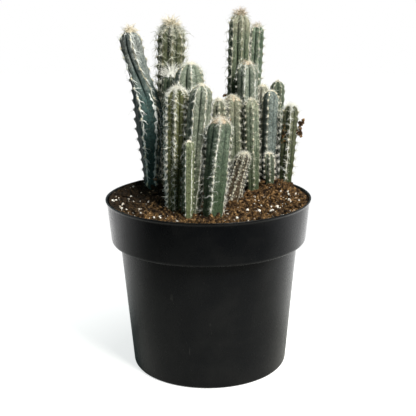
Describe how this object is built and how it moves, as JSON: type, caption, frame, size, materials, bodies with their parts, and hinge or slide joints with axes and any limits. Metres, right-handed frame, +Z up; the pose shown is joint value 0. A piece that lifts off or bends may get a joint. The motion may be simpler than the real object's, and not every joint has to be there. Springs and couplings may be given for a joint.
{
  "type": "potted columnar cactus clump",
  "caption": "Clump of ribbed blue-green columnar cacti with spiny crests and woolly tips, growing from gritty soil in a round black nursery pot with a deep collar.",
  "frame": {"origin": "centre of the pot's foot, on the surface that it stands on", "axes": "+Z up along the pot's axis; -Y is the front of the plant, +X its right-hand side seen from the front"},
  "size_m": [0.203, 0.203, 0.355],
  "materials": {
    "pot": "satin black moulded polypropylene",
    "soil": "matt gritty potting mix of peat, bark and perlite",
    "skin_blue": "waxy grey-blue cactus skin with a dull bloom",
    "skin_green": "waxy grey-green cactus skin",
    "skin_pale": "pale waxy grey-green cactus skin",
    "skin_olive": "yellow-green cactus skin",
    "skin_cork": "brownish corky cactus skin",
    "wool_cream": "cream wool and hairs",
    "wool_white": "white wool and hairs",
    "wool_tan": "tan felt and hairs"
  },
  "bodies": {
    "root": {"pot": "pot", "soil": "soil", "stem_far_left_leaning": "skin_blue", "stem_back_left_hairy": "skin_green", "stem_left_pale": "skin_pale", "stem_left_white_haired": "skin_green", "stem_front_left_spiny": "skin_olive", "stem_front_left": "skin_pale", "stem_front_left_low": "skin_olive", "stem_front_middle": "skin_green", "stem_middle_slim": "skin_pale", "stem_middle_felted": "skin_pale", "stem_back_tallest": "skin_green", "stem_back_slender": "skin_green", "stem_right_of_middle": "skin_pale", "stem_right_slim": "skin_pale", "stem_middle_low_corky": "skin_cork", "stem_right_smooth": "skin_blue", "stem_right_back_slim": "skin_pale", "stem_right_back": "skin_green", "stem_right_low": "skin_green", "stem_far_right": "skin_green", "crown_far_left_leaning": "wool_cream", "crown_back_left_hairy": "wool_cream", "crown_left_pale": "wool_cream", "crown_left_white_haired": "wool_white", "crown_front_left_spiny": "wool_cream", "crown_front_left": "wool_cream", "crown_front_left_low": "wool_cream", "crown_front_middle": "wool_tan", "crown_middle_slim": "wool_cream", "crown_middle_felted": "wool_tan", "crown_back_tallest": "wool_tan", "crown_back_slender": "wool_tan", "crown_right_of_middle": "wool_tan", "crown_right_slim": "wool_cream", "crown_middle_low_corky": "wool_tan", "crown_right_smooth": "wool_cream", "crown_right_back_slim": "wool_cream", "crown_right_back": "wool_cream", "crown_right_low": "wool_cream", "crown_far_right": "wool_white"}
  },
  "joints": []
}
